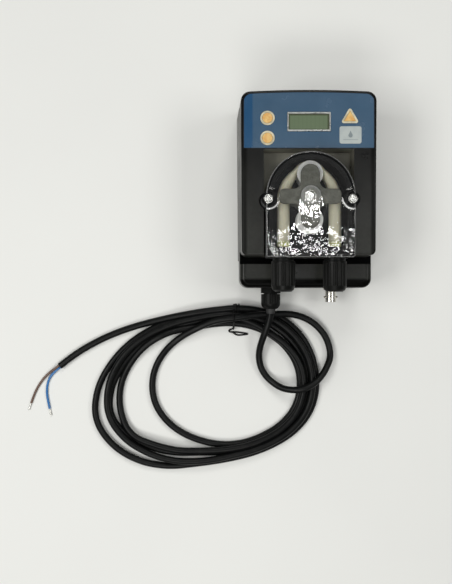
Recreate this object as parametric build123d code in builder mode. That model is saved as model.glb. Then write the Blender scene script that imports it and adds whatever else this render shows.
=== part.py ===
from build123d import *
import os
from math import hypot, pi, radians, tan

os.makedirs("parts", exist_ok=True)

# Peristaltic dosing pump, lying on its back. The origin is the centre of the back face,
# +X is to the right, +Y towards the display, +Z out of the front. Millimetres.

# Case
WALL = 2.5
DRAFT = 1.4  # degrees, on the display block
CASE_HALF = 59.0  # half the width at the wall
CASE_TOP = 84.0  # top edge at the wall, on the centre line
CROWN = 1.7  # rise of the top edge's shallow arch
NARROWING = 0.9  # how much closer each side is to the middle at the display block's lower end
CASE_BREAK = -58.5  # where the display block ends and the lower block begins, at the wall
CASE_FRONT = 90.0
TOP_CORNER = 9.0
BREAK_CORNER = 5.5
FRONT_EDGE = 2.0
LOWER_HALF = 57.2
LOWER_END = -83.5
LOWER_FRONT = 62.0
LOWER_CORNER = 8.0
LOWER_EDGE = 4.5
GROOVE_FLOOR = 57.0
GROOVE_END = -63.0
PARTING = 42.0
GASKET_T = 0.8
CASE_SCREW_X = 50.0
CASE_SCREW_Y = (73.0, -75.0)
WALL_SCREW_X = 45.0
WALL_SCREW_Y = 60.0
WALL_SCREW_R = 2.25
WALL_SCREW_DEPTH = 12.0

# Pump head
AXIS_Y = -8.6  # the rotor's axis runs along Z through (0, AXIS_Y)
HEAD_FLOOR = 68.0  # floor of the open channel that the head stands in
CHANNEL_HALF = 37.7
CHANNEL_TOP = 32.4
COVER_R = 36.3
COVER_END = -58.6
COVER_FACE = 108.0
COVER_T = 3.0
SKIRT_T = 2.2
SKIRT_Z = 80.2
BOSS_X = 34.4
BOSS_Y = -11.0
BOSS_R = 6.0
RACE_R = 30.7
RACE_RIM = 104.2
CAVITY_Z = 78.5
CAVITY_END = -50.0
POST_Y = -48.6
DOME_R = 8.2
DOME_H = 3.0

# Rotor and rollers
PLATE_Z = 100.4
PLATE_T = 3.0
LOWER_PLATE_Z = 79.3
LOWER_PLATE_T = 2.0
ARM_REACH_X = 25.4
ARM_REACH_Y = 26.4
ARM_W_X = 12.4
ARM_W_Y = 15.6
HUB_R = 7.0
ROLLER_ORBIT = 19.0
ROLLER_R = 8.2
FLANGE_R = 10.8
FLANGE_T = 1.2
ROLLER_Z = 81.5
ROLLER_L = 18.5
AXLE_R = 2.5
RUN = 0.05  # radial running clearance
SHAFT_R = 4.0

# Pump tube
TUBE_R = 5.25
LUMEN_R = 3.5
TUBE_X = 21.5
TUBE_Z = ROLLER_Z + ROLLER_L / 2
TUBE_END = -52.0
NIP = RACE_R - ROLLER_ORBIT - ROLLER_R  # gap between a roller and the race

# Gland, cord and coil
GLAND_X = -28.3
INLET_Z = 20.0
BNC_X = 26.6
CORD_R = 3.1
CORD_REST = CORD_R + 0.05
CORE_R = 1.1
COIL_H = 4 * CORD_R

# The cord's route, from the gland once round a small loop to the coil.
LEAD_ROUTE = [
    (GLAND_X, -107.0, INLET_Z),
    (-29.3, -113.6, 19.4),
    (-32.3, -121.4, 17.6),
    (-35.6, -129.4, 14.6),
    (-38.6, -138.2, 10.6),
    (-39.8, -147.6, 6.8),
    (-38.0, -157.2, 4.4),
    (-33.2, -165.8, 4.0),
    (-26.0, -172.5, 5.8),
    (-17.2, -176.7, 9.6),
    (-7.6, -178.0, 13.6),
    (2.2, -176.8, 16.0),
    (11.2, -172.6, 15.4),
    (18.9, -165.8, 12.2),
    (24.8, -157.0, 8.4),
    (28.2, -147.0, 5.2),
    (28.6, -136.4, 3.6),
    (25.4, -126.2, CORD_REST),
    (18.9, -117.8, CORD_REST),
    (10.0, -111.6, CORD_REST),
    (-0.4, -107.6, CORD_REST),
    (-11.8, -105.6, CORD_REST),
    (-23.6, -104.9, CORD_REST),
    (-35.6, -105.1, CORD_REST),
    (-47.4, -106.1, CORD_REST),
]
# The tail, from the tied side of the coil to the end of the outer sheath.
TAIL_ROUTE = [
    (-62.0, -103.4, CORD_REST),
    (-82.5, -104.3, CORD_REST),
    (-106.0, -107.4, CORD_REST),
    (-131.0, -112.5, CORD_REST),
    (-155.5, -119.0, CORD_REST),
    (-177.0, -127.0, CORD_REST),
    (-196.0, -136.6, CORD_REST),
    (-211.4, -146.0, CORD_REST),
    (-224.7, -156.5, CORD_REST),
]
# The two bare-ended cores beyond the sheath.
BROWN_ROUTE = [
    (-225.2, -155.8, 4.5),
    (-229.6, -159.0, 3.8),
    (-235.6, -163.6, 2.6),
    (-241.2, -169.4, 1.7),
    (-246.0, -176.6, 1.3),
    (-249.6, -184.4, 1.3),
    (-252.0, -191.4, 1.3),
]
BLUE_ROUTE = [
    (-224.2, -157.1, 1.9),
    (-229.2, -161.2, 1.8),
    (-234.6, -167.2, 1.5),
    (-237.0, -174.2, 1.3),
    (-237.4, -181.8, 1.3),
    (-236.2, -189.6, 1.3),
    (-234.6, -196.8, 1.3),
]


def draft_in(z):
    """How far the display block's drafted sides have come in at height z."""
    return z * tan(radians(DRAFT))


def upper_plan(z, inset, top_r, bottom_r):
    """Plan of the display block at height z: crowned top edge, rounded corners."""
    half = CASE_HALF - draft_in(z) - inset
    top = CASE_TOP - draft_in(z) - inset
    bottom = CASE_BREAK + draft_in(z) + inset
    with BuildSketch(Plane.XY.offset(z)) as plan:
        with BuildLine():
            Polyline((-half, top - CROWN), (NARROWING - half, bottom), (half - NARROWING, bottom),
                     (half, top - CROWN))
            ThreePointArc((half, top - CROWN), (0, top), (-half, top - CROWN))
        make_face()
        fillet(plan.vertices().group_by(Axis.Y)[-1], top_r)
        fillet(plan.vertices().group_by(Axis.Y)[0], bottom_r)
    return plan.sketch


def lower_plan(z, inset, corner, top=CASE_BREAK + 6):
    """Plan of the lower block at height z; its upper edge lies inside the display block."""
    half = LOWER_HALF - inset
    with BuildSketch(Plane.XY.offset(z)) as plan:
        with BuildLine():
            Polyline(
                (-half, top), (-half, LOWER_END + inset), (half, LOWER_END + inset), (half, top),
                close=True,
            )
        make_face()
        fillet(plan.vertices().group_by(Axis.Y)[0], corner)
    return plan.sketch


def head_plan(z, radius, end, corner, lobe=0.0):
    """Plan of the pump head at height z: a round-topped arch, with a lobe at each screw."""
    with BuildSketch(Plane.XY.offset(z)) as plan:
        with BuildLine():
            Polyline((-radius, AXIS_Y), (-radius, end), (radius, end), (radius, AXIS_Y))
            ThreePointArc((radius, AXIS_Y), (0, AXIS_Y + radius), (-radius, AXIS_Y))
        make_face()
        fillet(plan.vertices().group_by(Axis.Y)[0], corner)
        if lobe:
            with Locations((-BOSS_X, BOSS_Y), (BOSS_X, BOSS_Y)):
                Circle(lobe)
    return plan.sketch


def rotor_plan(z):
    """Plan of a rotor plate: two round-ended roller arms and two guide paddles."""
    with BuildSketch(Plane.XY.offset(z)) as plan:
        with Locations((0, AXIS_Y)):
            SlotOverall(2 * ARM_REACH_Y, ARM_W_Y, rotation=90)
            RectangleRounded(2 * ARM_REACH_X, ARM_W_X, 4)
        inner = [v for v in plan.vertices() if hypot(v.X, v.Y - AXIS_Y) < ARM_REACH_Y / 2]
        fillet(inner, 6)
    return plan.sketch


def triangle_plan(z, grow):
    """Plan of the start key: a rounded triangle pointing to +Y, grown by an offset."""
    with BuildSketch(Plane.XY.offset(z)) as plan:
        with Locations(START_KEY):
            RegularPolygon(9.15, 3, rotation=90)
        fillet(plan.vertices(), 1.6)
        offset(amount=grow)
    return plan.sketch


def screw(head_r, head_h, shank_r, length):
    """A pan-head screw with a cross recess, its seat at z = 0 and its shank along -Z."""
    with BuildPart() as body:
        Cylinder(head_r, head_h, align=(Align.CENTER, Align.CENTER, Align.MIN))
        fillet(body.edges().group_by(Axis.Z)[-1], head_h * 0.45)
        with Locations((0, 0, head_h)):
            Box(head_r * 1.1, head_r * 0.22, head_h * 0.8, mode=Mode.SUBTRACT)
            Box(head_r * 0.22, head_r * 1.1, head_h * 0.8, mode=Mode.SUBTRACT)
        Cylinder(shank_r, length, align=(Align.CENTER, Align.CENTER, Align.MAX))
        chamfer(body.edges().group_by(Axis.Z)[0], shank_r * 0.3)
    return body.part


def bend_radii(route):
    """The largest arc at each corner of a route that leaves a tenth of each run straight."""
    radii = []
    for before, corner, after in zip(route, route[1:], route[2:]):
        run_in = Vector(*corner) - Vector(*before)
        run_out = Vector(*after) - Vector(*corner)
        half_turn = radians(run_in.get_angle(run_out)) / 2
        radii.append(0.45 * min(run_in.length, run_out.length) / tan(half_turn))
    return radii


def cord_tube(route, radius):
    """A round cord along a route of straight runs joined by tangent arcs."""
    with BuildLine() as path:
        FilletPolyline(*route, radius=bend_radii(route))
    centre_line = path.wire()
    with BuildPart() as tube:
        with BuildSketch(Plane(origin=centre_line @ 0, z_dir=centre_line % 0)):
            Circle(radius)
        sweep(path=centre_line)
    ratio = tube.part.volume / (pi * radius**2 * centre_line.length)
    print(f"length {centre_line.length:.1f}, volume ratio {ratio:.4f}, radii",
          [round(r) for r in bend_radii(route)])
    return tube.part


def save(name, part):
    """Labels a finished piece and writes it under its own name."""
    part.label = name
    export_step(part, f"parts/{name}.step")


TO_FRONT = (Align.CENTER, Align.CENTER, Align.MIN)
TO_BACK = (Align.CENTER, Align.CENTER, Align.MAX)
CASE_SCREWS = [(x, y) for x in (-CASE_SCREW_X, CASE_SCREW_X) for y in CASE_SCREW_Y]
BOSSES = [(-BOSS_X, BOSS_Y), (BOSS_X, BOSS_Y)]
SEAM = PARTING + GASKET_T

# ---------------------------------------------------------------- case
with BuildPart() as back_shell:
    extrude(upper_plan(0, 0, TOP_CORNER, 1.0), amount=PARTING, taper=DRAFT)
    extrude(lower_plan(0, 0, LOWER_CORNER), amount=PARTING)
    fillet(back_shell.edges().group_by(Axis.Z)[0], 0.8)
    extrude(upper_plan(WALL, WALL, TOP_CORNER - WALL, 1.0), amount=PARTING, taper=DRAFT,
            mode=Mode.SUBTRACT)
    extrude(lower_plan(WALL, WALL, LOWER_CORNER - WALL), amount=PARTING, mode=Mode.SUBTRACT)
    with Locations(*[(x, y, 0) for x, y in CASE_SCREWS]):
        Cylinder(5.6, PARTING, align=TO_FRONT)
        Cylinder(2.2, PARTING, align=TO_FRONT, mode=Mode.SUBTRACT)
        Cylinder(4.0, 30, align=TO_FRONT, mode=Mode.SUBTRACT)
    with GridLocations(2 * WALL_SCREW_X, 2 * WALL_SCREW_Y, 2, 2):
        Cylinder(5.2, WALL_SCREW_DEPTH + WALL, align=TO_FRONT)
        Cylinder(WALL_SCREW_R, WALL_SCREW_DEPTH, align=TO_FRONT, mode=Mode.SUBTRACT)
    with Locations(Plane.XZ.offset(-LOWER_END)):
        with Locations((GLAND_X, INLET_Z)):
            Cylinder(6.2, 3 * WALL, mode=Mode.SUBTRACT)
        with Locations((BNC_X, INLET_Z)):
            Cylinder(4.9, 3 * WALL, mode=Mode.SUBTRACT)
save("back_shell", back_shell.part)

with BuildPart() as case_gasket:
    extrude(upper_plan(PARTING, 0, TOP_CORNER, 1.0), amount=GASKET_T)
    extrude(lower_plan(PARTING, 0, LOWER_CORNER), amount=GASKET_T)
    extrude(upper_plan(PARTING, WALL, TOP_CORNER - WALL, 1.0), amount=GASKET_T, mode=Mode.SUBTRACT)
    extrude(lower_plan(PARTING, WALL, LOWER_CORNER - WALL), amount=GASKET_T, mode=Mode.SUBTRACT)
save("case_gasket", case_gasket.part)

# The label's layout on the front face
LCD_Y = 54.8
LCD_W = 36.3
LCD_H = 16.3
ROUND_KEYS = [(-34.6, 57.9), (-34.6, 41.2)]
START_KEY = (34.2, 58.1)
KEY_R = 4.3
KEY_GAP = 0.15
KEY_RING_R = 6.0
PLATE_CENTRE = (34.6, 43.7)
BOARD_SCREWS = (86, 36)

with BuildPart() as front_shell:
    extrude(lower_plan(SEAM, 0, LOWER_CORNER), amount=LOWER_FRONT - SEAM)
    fillet(front_shell.edges().group_by(Axis.Z)[-1], LOWER_EDGE)
    with Locations((0, GROOVE_END, GROOVE_FLOOR)):
        Box(3 * LOWER_HALF, 30, 20, align=(Align.CENTER, Align.MIN, Align.MIN),
            mode=Mode.SUBTRACT)
    extrude(upper_plan(SEAM, 0, TOP_CORNER, BREAK_CORNER), amount=CASE_FRONT - SEAM, taper=DRAFT)
    fillet(front_shell.edges().group_by(Axis.Z)[-1], FRONT_EDGE)
    extrude(upper_plan(SEAM, WALL, TOP_CORNER - WALL, BREAK_CORNER - WALL),
            amount=CASE_FRONT - WALL - SEAM, taper=DRAFT, mode=Mode.SUBTRACT)
    extrude(lower_plan(SEAM, WALL, LOWER_CORNER - WALL),
            amount=GROOVE_FLOOR - WALL - SEAM, mode=Mode.SUBTRACT)
    extrude(lower_plan(SEAM, 2 * WALL, LOWER_CORNER - WALL, top=GROOVE_END - WALL),
            amount=LOWER_FRONT - 2 * WALL - SEAM, mode=Mode.SUBTRACT)
    with Locations((0, CASE_BREAK + 2, HEAD_FLOOR - WALL)):
        Box(2 * (CHANNEL_HALF + WALL), CHANNEL_TOP + WALL - CASE_BREAK - 2,
            CASE_FRONT - HEAD_FLOOR, align=(Align.CENTER, Align.MIN, Align.MIN))
    with Locations(*[(x, y, HEAD_FLOOR - WALL) for x, y in BOSSES]):
        Cylinder(BOSS_R + 1.2 + WALL, CASE_FRONT - HEAD_FLOOR, align=TO_FRONT)
    with Locations((0, CASE_BREAK - 5, HEAD_FLOOR)):
        Box(2 * CHANNEL_HALF, CHANNEL_TOP - CASE_BREAK + 5, 40,
            align=(Align.CENTER, Align.MIN, Align.MIN), mode=Mode.SUBTRACT)
    with Locations(*[(x, y, HEAD_FLOOR) for x, y in BOSSES]):
        Cylinder(BOSS_R + 1.2, 40, align=TO_FRONT, mode=Mode.SUBTRACT)
        Cylinder(4.5, HEAD_FLOOR - GROOVE_FLOOR + 2, align=TO_BACK)
        Cylinder(1.7, 60, mode=Mode.SUBTRACT)
    with Locations((0, AXIS_Y, HEAD_FLOOR)):
        Cylinder(19.2, 20, mode=Mode.SUBTRACT)
        with GridLocations(47.14, 47.14, 2, 2):
            Cylinder(2.6, 20, mode=Mode.SUBTRACT)
            Cylinder(4.6, 3.8, mode=Mode.SUBTRACT)
    with Locations((0, LCD_Y, CASE_FRONT)):
        Box(LCD_W - 1.6, LCD_H - 1.6, 20, mode=Mode.SUBTRACT)
    with Locations(*[(x, y, CASE_FRONT) for x, y in ROUND_KEYS]):
        Cylinder(KEY_R + KEY_GAP, 20, mode=Mode.SUBTRACT)
    extrude(triangle_plan(CASE_FRONT + 1, KEY_GAP - 1.7), amount=-20, mode=Mode.SUBTRACT)
    with Locations(*[(x, y, SEAM) for x, y in CASE_SCREWS[::2]]):
        Cylinder(4.2, CASE_FRONT - WALL - SEAM, align=TO_FRONT)
        Cylinder(1.6, 30, align=TO_FRONT, mode=Mode.SUBTRACT)
    with Locations(*[(x, y, SEAM) for x, y in CASE_SCREWS[1::2]]):
        Cylinder(4.2, LOWER_FRONT - 2 * WALL - SEAM, align=TO_FRONT)
        Cylinder(1.6, 12, align=TO_FRONT, mode=Mode.SUBTRACT)
    with Locations((0, 56, CASE_FRONT - WALL)):
        with GridLocations(*BOARD_SCREWS, 2, 2):
            Cylinder(3.0, 7.0, align=TO_BACK)
            Cylinder(1.3, 16.0, mode=Mode.SUBTRACT)
save("front_shell", front_shell.part)

case_screw = screw(3.6, 2.6, 1.5, 22)
with BuildPart() as case_screws:
    with Locations(*[(x, y, 30) for x, y in CASE_SCREWS]):
        with Locations(Rotation(180, 0, 0)):
            add(case_screw)
save("case_screws", case_screws.part)

# ---------------------------------------------------------------- front label, display, keys
LABEL_T = 0.4
LABEL_Z = CASE_FRONT
LABEL_HALF = 54.5
LABEL_LOW = 32.8
LABEL_TOP = 79.3
LABEL_SIDE = LABEL_TOP - 1.5
FACE_Z = CASE_FRONT + LABEL_T
with BuildPart() as panel_label:
    with BuildSketch(Plane.XY.offset(LABEL_Z)) as label_plan:
        with BuildLine():
            Polyline((-LABEL_HALF, LABEL_SIDE), (-LABEL_HALF, LABEL_LOW),
                     (LABEL_HALF, LABEL_LOW), (LABEL_HALF, LABEL_SIDE))
            ThreePointArc((LABEL_HALF, LABEL_SIDE), (0, LABEL_TOP), (-LABEL_HALF, LABEL_SIDE))
        make_face()
        fillet(label_plan.vertices().group_by(Axis.Y)[-1], TOP_CORNER - FRONT_EDGE)
        fillet(label_plan.vertices().group_by(Axis.Y)[0], 1.0)
        with Locations((0, LCD_Y)):
            Rectangle(LCD_W - 1.6, LCD_H - 1.6, mode=Mode.SUBTRACT)
        with Locations(*ROUND_KEYS):
            Circle(KEY_R + KEY_GAP, mode=Mode.SUBTRACT)
    extrude(amount=LABEL_T)
    extrude(triangle_plan(LABEL_Z - 1, KEY_GAP - 1.7), amount=5, mode=Mode.SUBTRACT)
save("panel_label", panel_label.part)

with BuildPart() as lcd_bezel:
    with BuildSketch(Plane.XY.offset(FACE_Z)):
        with Locations((0, LCD_Y)):
            RectangleRounded(LCD_W, LCD_H, 0.8)
            Rectangle(LCD_W - 2.6, LCD_H - 3.4, mode=Mode.SUBTRACT)
    extrude(amount=1.0)
    chamfer(lcd_bezel.edges().group_by(Axis.Z)[-1], 0.35)
save("lcd_bezel", lcd_bezel.part)

BOARD_Z = 78.9
BOARD_T = 1.6
BOARD_TOP = BOARD_Z + BOARD_T
with BuildPart() as lcd_module:
    with Locations((0, LCD_Y, BOARD_TOP)):
        Box(41, 21, CASE_FRONT - WALL - BOARD_TOP - 0.2, align=TO_FRONT)
        Box(LCD_W - 2.0, LCD_H - 2.0, FACE_Z - 0.2 - BOARD_TOP, align=TO_FRONT)
save("lcd_module", lcd_module.part)

with BuildPart() as display_board:
    with Locations((0, 56, BOARD_Z)):
        Box(91, 41, BOARD_T, align=TO_FRONT)
        with GridLocations(*BOARD_SCREWS, 2, 2):
            Cylinder(1.5, 10, mode=Mode.SUBTRACT)
save("display_board", display_board.part)

board_screw = screw(2.6, 1.8, 1.2, 7)
with BuildPart() as board_screws:
    with Locations((0, 56, BOARD_Z)):
        with GridLocations(*BOARD_SCREWS, 2, 2):
            with Locations(Rotation(180, 0, 0)):
                add(board_screw)
save("board_screws", board_screws.part)

with BuildPart() as name_plate:
    with BuildSketch(Plane.XY.offset(FACE_Z)):
        with Locations(PLATE_CENTRE):
            RectangleRounded(18.3, 14.4, 1.8)
    extrude(amount=0.4)
save("name_plate", name_plate.part)

RING_T = 0.6
with BuildPart() as key_bezels:
    with BuildSketch(Plane.XY.offset(FACE_Z)):
        with Locations(*ROUND_KEYS):
            Circle(KEY_RING_R)
            Circle(KEY_R + KEY_GAP, mode=Mode.SUBTRACT)
    extrude(amount=RING_T)
    extrude(triangle_plan(FACE_Z, 0), amount=RING_T)
    extrude(triangle_plan(FACE_Z, KEY_GAP - 1.7), amount=RING_T, mode=Mode.SUBTRACT)
    chamfer(key_bezels.edges().group_by(Axis.Z)[-1], 0.2)
save("key_bezels", key_bezels.part)

KEY_TOP = FACE_Z + RING_T + 0.25
KEY_LIP_Z = CASE_FRONT - WALL - 1.4
KEY_STEM_Z = 84.9
for key_name, (x, y) in zip(("key_up", "key_down"), ROUND_KEYS):
    with BuildPart() as round_key:
        with Locations((x, y, KEY_LIP_Z)):
            Cylinder(KEY_R, KEY_TOP - KEY_LIP_Z, align=TO_FRONT)
            Cylinder(KEY_R + 1.2, 1.2, align=TO_FRONT)
            Cylinder(2.0, KEY_LIP_Z - KEY_STEM_Z, align=TO_BACK)
        fillet(round_key.edges().group_by(Axis.Z)[-1], 0.5)
    save(key_name, round_key.part)

with BuildPart() as key_start:
    extrude(triangle_plan(KEY_LIP_Z, -1.7), amount=KEY_TOP - KEY_LIP_Z)
    fillet(key_start.edges().group_by(Axis.Z)[-1], 0.4)
    extrude(triangle_plan(KEY_LIP_Z, -0.6), amount=1.2)
    with Locations((*START_KEY, KEY_LIP_Z)):
        Cylinder(2.0, KEY_LIP_Z - KEY_STEM_Z, align=TO_BACK)
save("key_start", key_start.part)

with BuildPart() as key_switches:
    with Locations(*[(x, y, BOARD_TOP) for x, y in ROUND_KEYS + [START_KEY]]):
        Box(6.2, 6.2, 3.2, align=TO_FRONT)
        Cylinder(1.7, 3.7, align=TO_FRONT)
save("key_switches", key_switches.part)

# ---------------------------------------------------------------- power supply
PSU_Z = 8.0
PSU_TOP = PSU_Z + BOARD_T
PSU_Y = 48.0
with BuildPart() as power_board:
    with Locations((0, PSU_Y, PSU_Z)):
        Box(78, 32, BOARD_T, align=TO_FRONT)
        with GridLocations(68, 24, 2, 2):
            Cylinder(2.6, PSU_Z - WALL, align=TO_BACK)
save("power_board", power_board.part)

with BuildPart() as transformer:
    with Locations((-18, PSU_Y, PSU_TOP)):
        Box(40, 31, 6, align=TO_FRONT)
        with Locations((0, 0, 6)):
            Box(44, 20, 26, align=TO_FRONT)
            Box(30, 30, 25, align=TO_FRONT)
    fillet(transformer.edges().filter_by(Axis.Z), 1.0)
save("transformer", transformer.part)

with BuildPart() as capacitors:
    with Locations((15, 41, PSU_TOP), (15, 56, PSU_TOP), (29, 48, PSU_TOP)):
        Cylinder(6.2, 24, align=TO_FRONT)
    fillet(capacitors.edges().group_by(Axis.Z)[-1], 0.8)
save("capacitors", capacitors.part)

POLES = (-7, 0, 7)
with BuildPart() as terminal_block:
    with Locations((GLAND_X, -66, WALL)):
        Box(22, 9, 11, align=TO_FRONT)
    with Locations(*[(GLAND_X + dx, -66, WALL + 11) for dx in POLES]):
        Cylinder(2.2, 10, mode=Mode.SUBTRACT)
save("terminal_block", terminal_block.part)

with BuildPart() as terminal_screws:
    with Locations(*[(GLAND_X + dx, -66, WALL + 6.1) for dx in POLES]):
        Cylinder(2.0, 3.4, align=TO_FRONT)
        with Locations((0, 0, 3.4)):
            Box(5, 0.6, 1.6, mode=Mode.SUBTRACT)
save("terminal_screws", terminal_screws.part)

# ---------------------------------------------------------------- motor
MOTOR_TOP = HEAD_FLOOR - WALL
MOTOR_W = 56.4
STATOR_TOP = MOTOR_TOP - 8.0
STATOR_LOW = 17.5
MOTOR_LOW = 9.5
BEARING_R = 11.0
BEARING_T = 7.0
CORE_GAP = 0.4
MOTOR_CORE_R = 15.0

with BuildPart() as motor_front_cap:
    with BuildSketch(Plane.XY.offset(STATOR_TOP)):
        with Locations((0, AXIS_Y)):
            RectangleRounded(MOTOR_W, MOTOR_W, 4)
    extrude(amount=MOTOR_TOP - STATOR_TOP)
    with Locations((0, AXIS_Y, STATOR_TOP)):
        Cylinder(19.05, MOTOR_TOP + 1.6 - STATOR_TOP, align=TO_FRONT)
        Cylinder(5.0, 40, mode=Mode.SUBTRACT)
        Cylinder(BEARING_R + 0.02, 2 * BEARING_T, mode=Mode.SUBTRACT)
        with GridLocations(47.14, 47.14, 2, 2):
            Cylinder(2.1, 40, mode=Mode.SUBTRACT)
save("motor_front_cap", motor_front_cap.part)

with BuildPart() as motor_stator:
    with BuildSketch(Plane.XY.offset(STATOR_LOW)):
        with Locations((0, AXIS_Y)):
            RectangleRounded(MOTOR_W, MOTOR_W, 7)
            with PolarLocations(0, 8):
                with Locations((MOTOR_CORE_R + 5.2, 0)):
                    Rectangle(5.0, 7.4, mode=Mode.SUBTRACT)
            Circle(MOTOR_CORE_R + CORE_GAP, mode=Mode.SUBTRACT)
            with GridLocations(47.14, 47.14, 2, 2):
                Circle(2.6, mode=Mode.SUBTRACT)
    extrude(amount=STATOR_TOP - STATOR_LOW)
save("motor_stator", motor_stator.part)

with BuildPart() as motor_windings:
    with BuildSketch(Plane.XY.offset(STATOR_LOW + 1)):
        with Locations((0, AXIS_Y)):
            with PolarLocations(0, 8):
                with Locations((MOTOR_CORE_R + 5.2, 0)):
                    RectangleRounded(4.6, 7.0, 1.0)
    extrude(amount=STATOR_TOP - STATOR_LOW - 2)
save("motor_windings", motor_windings.part)

with BuildPart() as motor_rear_cap:
    with BuildSketch(Plane.XY.offset(MOTOR_LOW)):
        with Locations((0, AXIS_Y)):
            RectangleRounded(MOTOR_W, MOTOR_W, 4)
            with GridLocations(47.14, 47.14, 2, 2):
                Circle(2.6, mode=Mode.SUBTRACT)
    extrude(amount=STATOR_LOW - MOTOR_LOW)
    with Locations((0, AXIS_Y, STATOR_LOW)):
        Cylinder(BEARING_R + 0.02, 2 * BEARING_T, mode=Mode.SUBTRACT)
save("motor_rear_cap", motor_rear_cap.part)

with BuildPart() as motor_bearings:
    with Locations((0, AXIS_Y, STATOR_LOW - BEARING_T), (0, AXIS_Y, STATOR_TOP)):
        Cylinder(BEARING_R, BEARING_T, align=TO_FRONT)
        Cylinder(SHAFT_R + 0.03, 3 * BEARING_T, mode=Mode.SUBTRACT)
save("motor_bearings", motor_bearings.part)

motor_screw = screw(4.3, 1.7, 2.0, 9)
with BuildPart() as motor_screws:
    with Locations((0, AXIS_Y, MOTOR_TOP + 0.6)):
        with GridLocations(47.14, 47.14, 2, 2):
            add(motor_screw)
save("motor_screws", motor_screws.part)

with BuildPart() as motor_core:
    with Locations((0, AXIS_Y, STATOR_LOW + 1.5)):
        Cylinder(MOTOR_CORE_R, STATOR_TOP - STATOR_LOW - 3, align=TO_FRONT)
        Cylinder(SHAFT_R, 200, mode=Mode.SUBTRACT)
save("motor_core", motor_core.part)

with BuildPart() as drive_shaft:
    with Locations((0, AXIS_Y, STATOR_LOW - BEARING_T + 0.2)):
        Cylinder(SHAFT_R, PLATE_Z + 1.0 - STATOR_LOW + BEARING_T - 0.2, align=TO_FRONT)
    chamfer(drive_shaft.edges(), 0.4)
    with Locations((0, AXIS_Y, PLATE_Z + 1.0)):
        Cylinder(1.7, 2 * 12, mode=Mode.SUBTRACT)
save("drive_shaft", drive_shaft.part)

# ---------------------------------------------------------------- pump head
with BuildPart() as head_base:
    extrude(head_plan(HEAD_FLOOR, COVER_R, COVER_END, 2.0, BOSS_R), amount=SKIRT_Z - HEAD_FLOOR)
    wall_r = COVER_R - SKIRT_T - 0.2
    wall_end = COVER_END + SKIRT_T + 0.2
    extrude(head_plan(SKIRT_Z, wall_r, wall_end, 1.0), amount=RACE_RIM - SKIRT_Z)
    with Locations(*[(x, y, SKIRT_Z) for x, y in BOSSES]):
        Cylinder(BOSS_R + 0.3, 60, align=TO_FRONT, mode=Mode.SUBTRACT)
        Cylinder(2.2, 60, mode=Mode.SUBTRACT)
    extrude(head_plan(CAVITY_Z, RACE_R, CAVITY_END, 5.0), amount=60, mode=Mode.SUBTRACT)
    with Locations((0, POST_Y, CAVITY_Z)):
        Cylinder(4.0, RACE_RIM - CAVITY_Z - 1.2, align=TO_FRONT)
        Box(8, 3, RACE_RIM - CAVITY_Z - 4, align=(Align.CENTER, Align.MAX, Align.MIN))
    with Locations((0, POST_Y, RACE_RIM)):
        Cylinder(2.0, 24, mode=Mode.SUBTRACT)
    with Locations((0, AXIS_Y, HEAD_FLOOR)):
        Cylinder(6.02, 40, mode=Mode.SUBTRACT)
        Cylinder(19.4, 4, mode=Mode.SUBTRACT)
        with GridLocations(47.14, 47.14, 2, 2):
            Cylinder(4.8, 1.6, mode=Mode.SUBTRACT)
    with Locations(Plane.XZ.offset(-CAVITY_END)):
        with Locations((-TUBE_X, TUBE_Z), (TUBE_X, TUBE_Z)):
            Cylinder(6.6, 30, mode=Mode.SUBTRACT)
save("head_base", head_base.part)

with BuildPart() as shaft_bush:
    with Locations((0, AXIS_Y, HEAD_FLOOR + 2.4)):
        Cylinder(6.0, 4.4, align=TO_FRONT)
        Cylinder(SHAFT_R + RUN, 30, mode=Mode.SUBTRACT)
save("shaft_bush", shaft_bush.part)

with BuildPart() as shaft_seal:
    with Locations((0, AXIS_Y, HEAD_FLOOR + 6.9)):
        Cylinder(6.0, CAVITY_Z - HEAD_FLOOR - 6.9, align=TO_FRONT)
        Cylinder(SHAFT_R + RUN, 30, mode=Mode.SUBTRACT)
save("shaft_seal", shaft_seal.part)

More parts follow.
